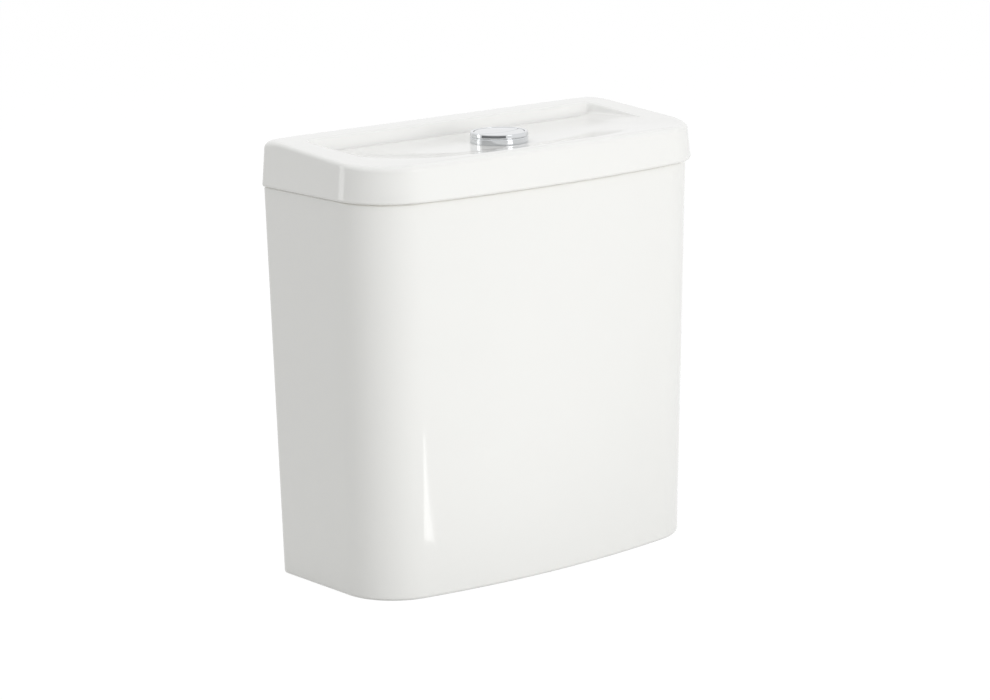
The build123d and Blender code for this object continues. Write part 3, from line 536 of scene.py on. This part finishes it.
class CISTERN_OT_tank(bpy.types.Operator):
    """Make the glazed china tank, with its floor, recess and holes"""

    bl_idname = "cistern.tank"
    bl_label = "Tank"

    def execute(self, context):
        china = context.scene.china
        rim, wall = mm(china.rim_height), mm(china.wall)
        foot_radius, rim_radius, floor_radius = (
            mm(china.foot_radius), mm(china.rim_radius), mm(china.floor_radius))
        recess_radius = 8.0
        cavity_corner = 12
        inner_edge = 1.5

        def ring(inset, height, cavity=False):
            shape = mix(TANK_FOOT, TANK_RIM, height / rim)
            if cavity:
                shape = (*shape[:5], cavity_corner + wall)
            return level(outline(shape, inset), height)

        quarter = spread(0, pi / 2, ROUND_STEPS)
        rings = [
            ring(wall + recess_radius * (1 - sin(a)), RECESS_ROOF - recess_radius * (1 - cos(a)), True)
            for a in quarter
        ]
        rings += [ring(wall, z, True) for z in spread(RECESS_ROOF - recess_radius, inner_edge, 4)[1:]]
        rings += [ring(wall - inner_edge * sin(a), inner_edge * (1 - cos(a)), True) for a in quarter[::-1]]
        rings = rings[:-ROUND_STEPS - 1] + [
            ring(wall - inner_edge + inner_edge * cos(a), inner_edge - inner_edge * sin(a))
            for a in quarter[1:]
        ]
        bare = len(rings)
        rings += [ring(foot_radius * (1 - sin(a)), foot_radius * (1 - cos(a))) for a in quarter]
        rings += [ring(0, z) for z in spread(foot_radius, rim - rim_radius, 14)[1:]]
        rings += [ring(rim_radius * (1 - cos(a)), rim - rim_radius * (1 - sin(a))) for a in quarter[1:]]
        rings += [
            ring(wall - rim_radius * (1 - sin(a)), rim - rim_radius * (1 - cos(a)), True) for a in quarter
        ]
        rings += [ring(wall, z, True) for z in spread(rim - rim_radius, FLOOR + floor_radius, 10)[1:]]
        rings += [
            ring(wall + floor_radius * (1 - cos(a)), FLOOR + floor_radius * (1 - sin(a)), True)
            for a in quarter[1:]
        ]
        vertices, faces = loft(rings)
        count = len(rings[0])
        faces += [tuple(range(count - 1, -1, -1)), tuple(range(len(vertices) - count, len(vertices)))]
        tank = new_piece(
            "china_tank", (vertices, faces), "glazed_vitreous_china", "cistern", ["tank"],
            weighted=False,
        )
        outward(tank)
        tank.data.materials.append(finish_of("biscuit_china"))
        for face in tank.data.polygons:
            face.material_index = int(face.index < bare * count or face.index == len(faces) - 2)
        holes = [(OUTLET, OUTLET_HOLE), (INLET, INLET_HOLE), *[(place, BOLT_HOLE) for place in BOLTS]]
        drill(tank, [
            (*place, radius, RECESS_ROOF - DRILL_REACH, FLOOR + DRILL_REACH) for place, radius in holes
        ])
        tank.data.set_sharp_from_angle(angle=SHARP_ANGLE)
        normals = tank.modifiers.new("even_flats", "WEIGHTED_NORMAL")
        normals.keep_sharp = True
        return {"FINISHED"}


class CISTERN_OT_lid(bpy.types.Operator):
    """Make the glazed china lid, with its crest, sunk tray and locating lip"""

    bl_idname = "cistern.lid"
    bl_label = "Lid"

    def execute(self, context):
        china = context.scene.china
        rim, ridge = mm(china.rim_height), mm(china.ridge_rise)
        lower_edge = 2.5
        roof_radius = 8.0
        hole = 20.0
        foot, crown = outline(LID_FOOT), outline(LID_CROWN)
        count = len(foot)
        rises = [crest_rise(*point, china) for point in crown]
        corner_end = LID_CROWN[2] + LID_CROWN[3] - sqrt(
            (LID_CROWN[3] - LID_CROWN[4]) ** 2 - (LID_CROWN[0] - LID_CROWN[4]) ** 2)
        corner_start = corner_end - LID_CROWN[4]

        def edge_radius(y):
            """The top edge's rounding: full along the front, smaller from the corners' ends to the back."""
            share = min(max((y - corner_start) / LID_CROWN[4], 0), 1)
            return mm(china.front_edge) + (mm(china.side_edge) - mm(china.front_edge)) * share ** 2

        radii = []
        for x, y in crown:
            near = max(1 - hypot(LID_CROWN[0] - abs(x), LID_CROWN[1] - y) / CORNER_REACH, 0)
            radii.append(edge_radius(y) + CORNER_EDGE * near ** 2)

        def at(i, inset, rise):
            """Point of the drafted side, or inside it, at a height above the rim."""
            low, high = insets(LID_FOOT, inset), insets(LID_CROWN, inset)
            return (*mix(low[i], high[i], rise / ridge), rim + rise)

        kept = {}

        def insets(shape, inset):
            """Outline drawn in by an amount, kept for the other points that ask for it."""
            key = (shape, round(inset, 4))
            if key not in kept:
                kept[key] = outline(shape, inset)
            return kept[key]

        def top(i, inset):
            """Point of the lid's upper side, at a distance inside its outline."""
            x, y, _ = at(i, inset, rises[i])
            return x, y, rim + top_rise(x, y, china)

        circle = []
        for x, y in outline(LID_CROWN, TOP_REACH):
            angle = atan2(y - BUTTON[1], x - BUTTON[0])
            circle.append((BUTTON[0] + hole * cos(angle), BUTTON[1] + hole * sin(angle)))

        quarter = spread(0, pi / 2, ROUND_STEPS)
        # The lip stands inside the tank's rim, and its faces are named by their distance inside that outline
        lip_outer, lip_inner, chamfer = 11.0, 17.0, 1.0
        lip_shape = (*TANK_RIM[:5], 17.0)
        cavity_shape = (*TANK_RIM[:5], 23.0)
        lip_out = outline(lip_shape, lip_outer)
        lip_in = outline(cavity_shape, lip_inner)

        # Underside: from the button's hole over the roof, down the cavity, round the lip and out to the edge
        roof = outline(cavity_shape, lip_inner + roof_radius)
        rings = [
            level([mix(a, b, share) for a, b in zip(circle, roof)], LID_ROOF)
            for share in spread(0, 1, 5)
        ]
        rings += [
            level(outline(cavity_shape, lip_inner + roof_radius * (1 - sin(a))),
                  LID_ROOF - roof_radius * (1 - cos(a)))
            for a in quarter[1:]
        ]
        rings += [level(lip_in, z) for z in spread(LID_ROOF - roof_radius, LIP_LOW + chamfer, 4)[1:]]
        rings += [
            level(outline(cavity_shape, lip_inner - chamfer), LIP_LOW),
            level(outline(lip_shape, lip_outer + chamfer), LIP_LOW),
            level(lip_out, LIP_LOW + chamfer),
        ]
        # The seat on the tank's rim has no glaze
        bare_from = len(rings)
        rings += [level(lip_out, rim - chamfer), level(outline(lip_shape, lip_outer - chamfer), rim)]
        rings += [level(outline(LID_FOOT, inset), rim) for inset in (8.0, 5.0, lower_edge)]
        bare_to = len(rings) - 1
        rings += [
            level(outline(LID_FOOT, lower_edge * (1 - sin(a))), rim + lower_edge * (1 - cos(a)))
            for a in quarter[1:]
        ]
        # Outside: up the drafted side, over the rounded top edge, down the tray's walls and in to the hole
        rings += [
            [at(i, 0, lower_edge + (rises[i] - radii[i] - lower_edge) * share) for i in range(count)]
            for share in spread(0, 1, 6)[1:]
        ]
        for a in spread(0, pi / 2, 9)[1:]:
            ring = []
            for i in range(count):
                x, y, z = top(i, radii[i])
                start = at(i, 0, rises[i] - radii[i])
                ring.append((
                    start[0] + (x - start[0]) * (1 - cos(a)), start[1] + (y - start[1]) * (1 - cos(a)),
                    start[2] + (z - start[2]) * sin(a),
                ))
            rings.append(ring)
        # Close rings where the walls stand, wider ones on the rim and the floor
        wall_start, wall_end = WALL_BAND
        shares = spread(0, wall_start, 11)[1:] + spread(wall_start, wall_end, 30)[1:]
        shares += spread(wall_end, 1, 8)[1:]
        for share in shares:
            rings.append([top(i, radii[i] + (TOP_REACH - radii[i]) * share) for i in range(count)])
        edge = rings[-1]
        for share in spread(0, 1, 10)[1:]:
            ring = []
            for point, place in zip(edge, circle):
                x, y = mix(point[:2], place, share)
                ring.append((x, y, rim + top_rise(x, y, china)))
            rings.append(ring)
        solid = loft(rings, closed=True)
        lid = new_piece("china_lid", solid, "glazed_vitreous_china", "lid", ["lid"])
        outward(lid)
        lid.data.materials.append(finish_of("biscuit_china"))
        for face in lid.data.polygons:
            face.material_index = int(bare_from * count <= face.index < bare_to * count)
        return {"FINISHED"}


class CISTERN_OT_button(bpy.types.Operator):
    """Make the chromed push button: housing, bezel and its two caps"""

    bl_idname = "cistern.button"
    bl_label = "Push button"

    def execute(self, context):
        button = context.scene.button
        outer, cap, edge = mm(button.radius), mm(button.cap_radius), mm(button.edge)
        bowl, sleeve, bore = outer - 2.8, 19.0, 17.3
        sleeve_low = TRAY_FLOOR - 26.0
        bowl_floor = TRAY_FLOOR + 1.2
        housing = turned(rounded([
            (bore, sleeve_low, 0.4), (sleeve, sleeve_low, 0.4), (sleeve, TRAY_FLOOR, 0),
            (outer, TRAY_FLOOR, 0.3), (outer, FLANGE_TOP, 0.9), (bowl, FLANGE_TOP, 0.3),
            (bowl, bowl_floor, 0.3), (bore, bowl_floor, 0.3),
        ]), BUTTON)
        # The bridge bites a little into the sleeve's wall, which holds it
        bridge_half, bridge_thickness, bite = 12.0, 3, 0.8
        reach = sqrt((bore + bite) ** 2 - bridge_half ** 2)
        bridge = prism([
            (BUTTON[0] + x * reach, BUTTON[1] + y * bridge_half)
            for x, y in ((-1, -1), (1, -1), (1, 1), (-1, 1))
        ], sleeve_low, sleeve_low + bridge_thickness)
        piece = new_piece(
            "button_trim", joined(housing, bridge), "bright_chrome_plating", "lid",
            ["button_housing"],
        )
        outward(piece)
        # The seam is the shadow gap between the housing and the ring, and above it the ring's side leans in
        seam, seam_top, lean_start, lean_in = outer - 0.7, FLANGE_TOP + 0.6, FLANGE_TOP + 1.1, 0.42
        inner = outer - 3.2
        bezel = turned(rounded([
            (inner, FLANGE_TOP, 0.2), (seam, FLANGE_TOP, 0), (seam, seam_top, 0), (outer, seam_top, 0.2),
            (outer, lean_start, 0.3), (outer - lean_in, BEZEL_TOP, 0.9), (inner, BEZEL_TOP, 0.4),
        ]), BUTTON)
        piece = new_piece(
            "button_ring", bezel, "bright_chrome_plating", "lid", ["button_bezel"])
        outward(piece)

        split_y = BUTTON[1] - mm(button.split_dip) + mm(button.split_radius)
        for name, side in (("full", -1), ("half", 1)):
            radius = mm(button.split_radius) + side * mm(button.split_gap) / 2
            gap = split_y - BUTTON[1]
            meet = (gap ** 2 + cap ** 2 - radius ** 2) / (2 * gap)
            half_chord = sqrt(cap ** 2 - meet ** 2)
            lean = asin(half_chord / radius)
            turn = atan2(meet, half_chord)
            arc = [(radius * sin(a), split_y - radius * cos(a)) for a in spread(-lean, lean, 40)]
            if name == "full":
                rim_angles = spread(turn, pi - turn, 100)[1:-1]
            else:
                rim_angles = spread(turn, -pi - turn, 60)[1:-1]
            rim_arc = [(BUTTON[0] + cap * cos(a), BUTTON[1] + cap * sin(a)) for a in rim_angles]
            x, y = STEMS[name]
            stem_low = sleeve_low - 2.3
            stem_bore, shaft, collar = 2.2, 3.0, 3.7
            collar_top, stem_top = stem_low + 2, CAP_LOW + 0.5
            stem = turned(rounded([
                (stem_bore, stem_low, 0), (collar, stem_low, 0.3), (collar, collar_top, 0),
                (shaft, collar_top, 0), (shaft, stem_top, 0), (stem_bore, stem_top, 0),
            ]), (x, y), TURN_STEPS // 2)
            piece = new_piece(
                name + "_flush_top", prism(arc + rim_arc, CAP_LOW, CAP_TOP), "bright_chrome_plating",
                name + "_button", [name + "_flush_cap"], weighted=False,
            )
            outward(piece)
            soft = piece.modifiers.new("soft_edges", "BEVEL")
            soft.width = edge * MM
            soft.segments = 4
            soft.limit_method = "ANGLE"
            soft.angle_limit = radians(40)
            soft.harden_normals = True
            tube = new_piece(
                name + "_cap_stem", stem, "moulded_acetal", name + "_button")
            outward(tube)
        return {"FINISHED"}


# Cap springs: outer radius in millimetres, closed end coils, how far a closed coil climbs in millimetres, and
# steps round a coil and round the wire
SPRING_RADIUS = 3.68
END_COILS = 2
END_CLIMB = 0.02
COIL_STEPS = 28
WIRE_STEPS = 10


class CISTERN_OT_springs(bpy.types.Operator):
    """Wind the two cap springs"""

    bl_idname = "cistern.springs"
    bl_label = "Cap springs"

    def execute(self, context):
        fittings = context.scene.fittings
        wire, coils = mm(fittings.wire), fittings.coils
        coil = SPRING_RADIUS - wire
        for name, (x, y) in STEMS.items():
            low, high = SPRING_LOW + wire, CAP_LOW - wire
            rings = []
            steps = COIL_STEPS * (coils + END_COILS)
            for i in range(steps + 1):
                turns = (coils + END_COILS) * i / steps
                # The end coils lie closed and flat
                share = min(max((turns - 1) / coils, 0), 1)
                height = low + (high - low) * share + (turns - 1 - coils * share) * END_CLIMB
                angle = 2 * pi * turns
                along = Vector((cos(angle), sin(angle), 0))
                rings.append([
                    (x + along.x * (coil + wire * cos(b)), y + along.y * (coil + wire * cos(b)),
                     min(max(height + wire * sin(b), SPRING_LOW), CAP_LOW))
                    for b in [2 * pi * k / WIRE_STEPS for k in range(WIRE_STEPS)]
                ])
            vertices, faces = loft(rings)
            faces += [
                tuple(range(WIRE_STEPS - 1, -1, -1)),
                tuple(range(len(vertices) - WIRE_STEPS, len(vertices))),
            ]
            spring = new_piece(
                name + "_return_spring", (vertices, faces), "stainless_steel", "lid",
                [name + "_cap_spring"], weighted=False,
            )
            outward(spring)
            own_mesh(spring)
        return {"FINISHED"}


# Threads: steps round and along each turn, depth as a share of the pitch and at most, how far the sleeve that
# carries the ridge reaches inwards, how far it is sunk, and how steep the flanks are. Lengths are in
# millimetres.
THREAD_AROUND = 48
THREAD_ALONG = 6
DEPTH_SHARE = 0.3
MOST_DEPTH = 0.35
SLEEVE_DEPTH = 0.4
SLEEVE_SINK = 0.02
FLANK = 1.2


class CISTERN_OT_threads(bpy.types.Operator):
    """Cut the threads of the valves' tails, the coupling bolts and the push rods"""

    bl_idname = "cistern.threads"
    bl_label = "Threads"

    def execute(self, context):
        fittings = context.scene.fittings
        # Name, place, radius, lower end, upper end, pitch, body, finish and slot
        rows = [
            ("tail_thread", OUTLET, 29.8, 31.0, 60.0, fittings.tail_pitch, "cistern", "moulded_acetal",
             "acetal_plastic"),
            ("inlet_thread", INLET, 10.478, 6.0, 50.0, fittings.inlet_pitch, "cistern", "moulded_acetal",
             "acetal_plastic"),
        ]
        for side, place in zip(("left", "right"), BOLTS):
            rows.append((
                side + "_bolt_thread", place, 4.0, 3.0, 52.0, fittings.bolt_pitch, "cistern",
                "stainless_steel", "stainless_steel",
            ))
        for name, place in STEMS.items():
            rows.append((
                name + "_rod_thread", place, 2.0, 290.0, 340.0, fittings.rod_pitch, name + "_button",
                "stainless_steel", "stainless_steel",
            ))
        for name, place, radius, low, high, pitch, body, finish, slot in rows:
            pitch = mm(pitch)
            height = min(DEPTH_SHARE * pitch, MOST_DEPTH)
            steps = ceil((high - low) / pitch * THREAD_ALONG)
            core = radius - SLEEVE_DEPTH
            rings = [[
                (place[0] + core * cos(a), place[1] + core * sin(a), low)
                for a in spread(0, 2 * pi, THREAD_AROUND)[:-1]
            ]]
            for z in spread(low, high, steps):
                ring = []
                for i in range(THREAD_AROUND):
                    angle = 2 * pi * i / THREAD_AROUND
                    phase = (z / pitch - i / THREAD_AROUND) % 1
                    ease = min((z - low) / pitch, (high - z) / pitch, 1)
                    r = radius + height * ease * (1 - abs(2 * phase - 1) * FLANK) - SLEEVE_SINK
                    ring.append((place[0] + r * cos(angle), place[1] + r * sin(angle), z))
                rings.append(ring)
            rings.append([(px, py, high) for px, py, _ in rings[0]])
            piece = new_piece(name, loft(rings, closed=True), finish, body, weighted=False)
            outward(piece)
        return {"FINISHED"}


# Finish of every CAD node that keeps its own shape
CARRIED = {
    "moulded_acetal": (
        "lid_washer", "lid_nut", "valve_base", "valve_backnut", "valve_tower", "rocker_frame", "full_rocker",
        "half_rocker", "overflow_tube", "fill_valve_body", "fill_valve_backnut", "inlet_strainer",
        "fill_valve_sleeve", "fill_valve_head", "fill_valve_cap", "float_lever", "float_link_rod",
    ),
    "moulded_polypropylene": ("flush_float", "fill_float"),
    "moulded_epdm_rubber": (
        "valve_base_gasket", "flush_seal", "fill_valve_gasket", "fill_valve_diaphragm", "cone_washers",
    ),
    "polyurethane_foam": ("pan_coupling_washer",),
    "stainless_steel": (
        "full_push_rod", "half_push_rod", "rocker_pins", "float_lever_pin", "coupling_bolts", "steel_washers",
        "coupling_nuts",
    ),
}


class CISTERN_OT_fittings(bpy.types.Operator):
    """Give the valves, seals, floats and fasteners their materials"""

    bl_idname = "cistern.fittings"
    bl_label = "Valves and fasteners"

    def execute(self, context):
        for finish, names in CARRIED.items():
            for name in names:
                for material_slot in NODES[name].material_slots:
                    material_slot.material = finish_of(finish)
        return {"FINISHED"}


# Lamps: azimuth from the front towards the right, elevation, distance, width, height in metres, power in
# watts, and whether gloss mirrors them. The broad ones only light, and the narrow ones are what the glaze and
# the chrome mirror.
LAMPS = {
    "front_softbox": (4, 20, 2.3, 1.6, 1.2, 9.2, False),
    "front_window": (5, 25, 2.2, 0.75, 0.55, 4.8, True),
    "low_fill": (12, 3.5, 2.4, 1.6, 0.45, 10.5, False),
    "left_fill": (-55, 22, 2.2, 1.6, 1.2, 2.8, False),
    "back_fill": (180, 60, 2.2, 1.6, 1.2, 14.5, False),
    "left_strip": (-128.5, 12, 2.2, 0.46, 1.1, 2.8, True),
}
# Point that the lamps face, in metres
LAMP_AIM = (0, 0, 0.19)

# Strip of light on the floor, mirrored low down on the tank's left front corner: metres and watts
STRIP_WIDTH = 0.022
STRIP_LENGTH = 0.31
STRIP_PLACE = (-0.043, -0.344, 0.003)
STRIP_TURN = radians(17)
STRIP_POWER = 0.07

# Dark card round the camera's side, glowing in gloss alone to paint a dark reflection: metres and degrees,
# and the mottle and tone of that painted reflection
CARD_RADIUS = 1.5
CARD_LOW = 0.42
CARD_HEIGHT = 0.2
CARD_AZIMUTHS = range(-112, -11, 10)
REFLECTION_MOTTLE = 3
REFLECTION_TONE = (0.14, 0.26)

# Paper of the sweep: fibre and relief in millimetres, and what makes up for the white that the lit share
# lacks
PAPER_FIBRE = 0.8
PAPER_RELIEF = 0.02
WHITE_GAIN = 0.45

# Camera where the photograph was taken, from the fit of the cistern's outline: place in metres, and axes
CAMERA_PLACE = (-1.7322, -2.1561, 0.7946)
CAMERA_SIDE = (0.77760525, -0.6284495, -0.01952713)
CAMERA_UP = (0.15049784, 0.15588314, 0.97624323)
CAMERA_FORWARD = (0.61047562, 0.76207065, -0.21579584)
SENSOR_WIDTH = 36.0
CAMERA_RANGE = 50.0


def seen_or_mirrored(tree, path):
    """Node that gives 1 where the camera or gloss sees something, and 0 where it only lights."""
    return add(tree, "Math", {0: path.outputs["Is Camera Ray"], 1: path.outputs["Is Glossy Ray"]},
               operation="ADD", use_clamp=True)


def white_paper(stage):
    """White paper sweep: lit like paper, and shown to the camera as the white behind the object."""
    paper, tree = bare_material("white_paper_sweep")
    seen = seen_or_mirrored(tree, add(tree, "LightPath"))
    share = add(tree, "Math", {0: seen.outputs[0], 1: 1 - stage.shadow}, operation="MULTIPLY")
    fibre = add(tree, "TexNoise", {
        "Vector": add(tree, "TexCoord").outputs["Object"], "Scale": per(PAPER_FIBRE), "Detail": 2.0,
    })
    relief = add(tree, "Bump", {"Height": fibre.outputs["Fac"], "Distance": PAPER_RELIEF * MM})
    pale = add(tree, "Mix", {0: seen.outputs[0], 6: opaque(stage.bounce), 7: opaque(stage.paper)},
               data_type="RGBA")
    lit = add(tree, "BsdfDiffuse", {"Color": pale.outputs[2], "Normal": relief.outputs["Normal"]})
    # The little that the lit share lacks of white is made up here
    glow = add(tree, "Emission", {
        "Color": opaque(stage.paper), "Strength": 1 + WHITE_GAIN * stage.shadow,
    })
    blend = add(tree, "MixShader", {0: share.outputs[0], 1: lit.outputs[0], 2: glow.outputs[0]})
    add(tree, "OutputMaterial", {"Surface": blend.outputs[0]})
    return paper


def lay_floor(scene, stage):
    """Square floor of white paper."""
    half = stage.floor_size / 2
    corners = [(-half, -half, 0), (half, -half, 0), (half, half, 0), (-half, half, 0)]
    mesh = bpy.data.meshes.new("floor")
    mesh.from_pydata(corners, [], [(0, 1, 2, 3)])
    floor = bpy.data.objects.new("floor", mesh)
    scene.collection.objects.link(floor)
    mesh.materials.append(white_paper(stage))


def surround(scene, stage):
    """Surroundings: white where they are seen or mirrored, dimmer as a light."""
    world = bpy.data.worlds.new("white_surroundings")
    world.use_nodes = True
    tree = world.node_tree
    tree.nodes.clear()
    path = add(tree, "LightPath")
    seen = seen_or_mirrored(tree, path)
    seen = add(tree, "Math", {0: seen.outputs[0], 1: path.outputs["Is Transmission Ray"]},
               operation="ADD", use_clamp=True)
    strength = add(tree, "MapRange", {
        "Value": seen.outputs[0], "To Min": stage.ambient, "To Max": 1.0,
    })
    sky = add(tree, "Background", {"Color": opaque(stage.paper), "Strength": strength.outputs["Result"]})
    add(tree, "OutputWorld", {"Surface": sky.outputs[0]})
    scene.world = world


def area_lamp(scene, name, width, height, power):
    """Rectangular lamp that the camera doesn't see."""
    lamp = bpy.data.lights.new(name, "AREA")
    lamp.shape = "RECTANGLE"
    lamp.size = width
    lamp.size_y = height
    lamp.energy = power
    carrier = bpy.data.objects.new(name, lamp)
    carrier.visible_camera = False
    scene.collection.objects.link(carrier)
    return carrier


def hang_lamps(scene):
    """The lamps round the object, and the strip on the floor, which faces up."""
    for name, (azimuth, elevation, distance, width, height, power, mirrored) in LAMPS.items():
        turn, lift = radians(azimuth), radians(elevation)
        toward = Vector((sin(turn) * cos(lift), -cos(turn) * cos(lift), sin(lift)))
        carrier = area_lamp(scene, name, width, height, power)
        carrier.location = Vector(LAMP_AIM) + toward * distance
        carrier.rotation_euler = toward.to_track_quat("Z", "Y").to_euler()
        carrier.visible_glossy = mirrored
    strip = area_lamp(scene, "floor_strip", STRIP_WIDTH, STRIP_LENGTH, STRIP_POWER)
    place, turn = Matrix.Translation(STRIP_PLACE), Matrix.Rotation(STRIP_TURN, 4, "Z")
    strip.matrix_world = place @ turn @ Matrix.Rotation(pi, 4, "X")


def dark_felt():
    """Glowing dark sheet whose mottled tone is the painted dark reflection that gloss sees."""
    felt, tree = bare_material("dark_felt")
    mottle = add(tree, "TexNoise", {"Scale": per(REFLECTION_MOTTLE), "Detail": 2.0})
    tone = add(tree, "MapRange", {
        "Value": mottle.outputs["Fac"], "To Min": REFLECTION_TONE[0], "To Max": REFLECTION_TONE[1],
    })
    # The sheet glows dimly to paint a dark reflection, it is no lamp
    glow = add(tree, "Emission", {"Strength": tone.outputs["Result"]})
    add(tree, "OutputMaterial", {"Surface": glow.outputs[0]})
    return felt


def stand_card(scene):
    """Dark card, seen in gloss alone: a painted dark reflection that gives the chrome its dark band."""
    mesh = bpy.data.meshes.new("dark_card")
    rows = [(radians(a), e) for a in CARD_AZIMUTHS for e in (0.0, CARD_HEIGHT)]
    mesh.from_pydata(
        [(CARD_RADIUS * sin(a), -CARD_RADIUS * cos(a), CARD_LOW + e) for a, e in rows], [],
        [(i, i + 1, i + 3, i + 2) for i in range(0, len(rows) - 2, 2)],
    )
    card = bpy.data.objects.new("dark_card", mesh)
    scene.collection.objects.link(card)
    mesh.materials.append(dark_felt())
    for ray in ("camera", "diffuse", "transmission", "volume_scatter", "shadow"):
        setattr(card, "visible_" + ray, False)


def place_camera(scene, stage):
    """The camera of the photograph."""
    camera = bpy.data.cameras.new("camera")
    camera.lens = stage.lens
    camera.sensor_width = SENSOR_WIDTH
    camera.clip_end = CAMERA_RANGE
    carrier = bpy.data.objects.new("camera", camera)
    axes = Matrix((CAMERA_SIDE, CAMERA_UP, -Vector(CAMERA_FORWARD))).transposed().to_4x4()
    axes.translation = Vector(CAMERA_PLACE)
    carrier.matrix_world = axes
    scene.collection.objects.link(carrier)
    scene.camera = carrier


class CISTERN_OT_stage(bpy.types.Operator):
    """Set up the floor, the surroundings, the lamps and the camera"""

    bl_idname = "cistern.stage"
    bl_label = "Stage"

    def execute(self, context):
        scene = context.scene
        stage = scene.stage_settings
        lay_floor(scene, stage)
        surround(scene, stage)
        hang_lamps(scene)
        stand_card(scene)
        place_camera(scene, stage)
        scene.view_settings.view_transform = "Standard"
        return {"FINISHED"}


OPERATORS = (
    CISTERN_OT_tank, CISTERN_OT_lid, CISTERN_OT_button, CISTERN_OT_springs, CISTERN_OT_threads,
    CISTERN_OT_fittings, CISTERN_OT_stage,
)


class CISTERN_PT_panel(bpy.types.Panel):
    """Lists the steps that build the cistern's looks"""

    bl_idname = "CISTERN_PT_panel"
    bl_label = "Cistern"
    bl_space_type = "VIEW_3D"
    bl_region_type = "UI"
    bl_category = "Cistern"

    def draw(self, context):
        for group in (context.scene.china, context.scene.button, context.scene.fittings,
                      context.scene.stage_settings):
            box = self.layout.box()
            for name in group.__annotations__:
                box.prop(group, name)
        for operator in OPERATORS:
            self.layout.operator(operator.bl_idname)


SETTINGS = {
    "china": ChinaSettings, "button": ButtonSettings, "fittings": FittingSettings,
    "stage_settings": StageSettings,
}


def register():
    """Registers the settings, the operators and the panel."""
    for name, group in SETTINGS.items():
        bpy.utils.register_class(group)
        setattr(bpy.types.Scene, name, PointerProperty(type=group))
    for operator in (*OPERATORS, CISTERN_PT_panel):
        bpy.utils.register_class(operator)


def unregister():
    """Takes them out again."""
    for operator in (CISTERN_PT_panel, *OPERATORS[::-1]):
        bpy.utils.unregister_class(operator)
    for name, group in SETTINGS.items():
        delattr(bpy.types.Scene, name)
        bpy.utils.unregister_class(group)


def main():
    """Builds every piece."""
    register()
    for step in ("tank", "lid", "button", "springs", "threads", "fittings", "stage"):
        getattr(bpy.ops.cistern, step)()


if __name__ == "__main__":
    main()
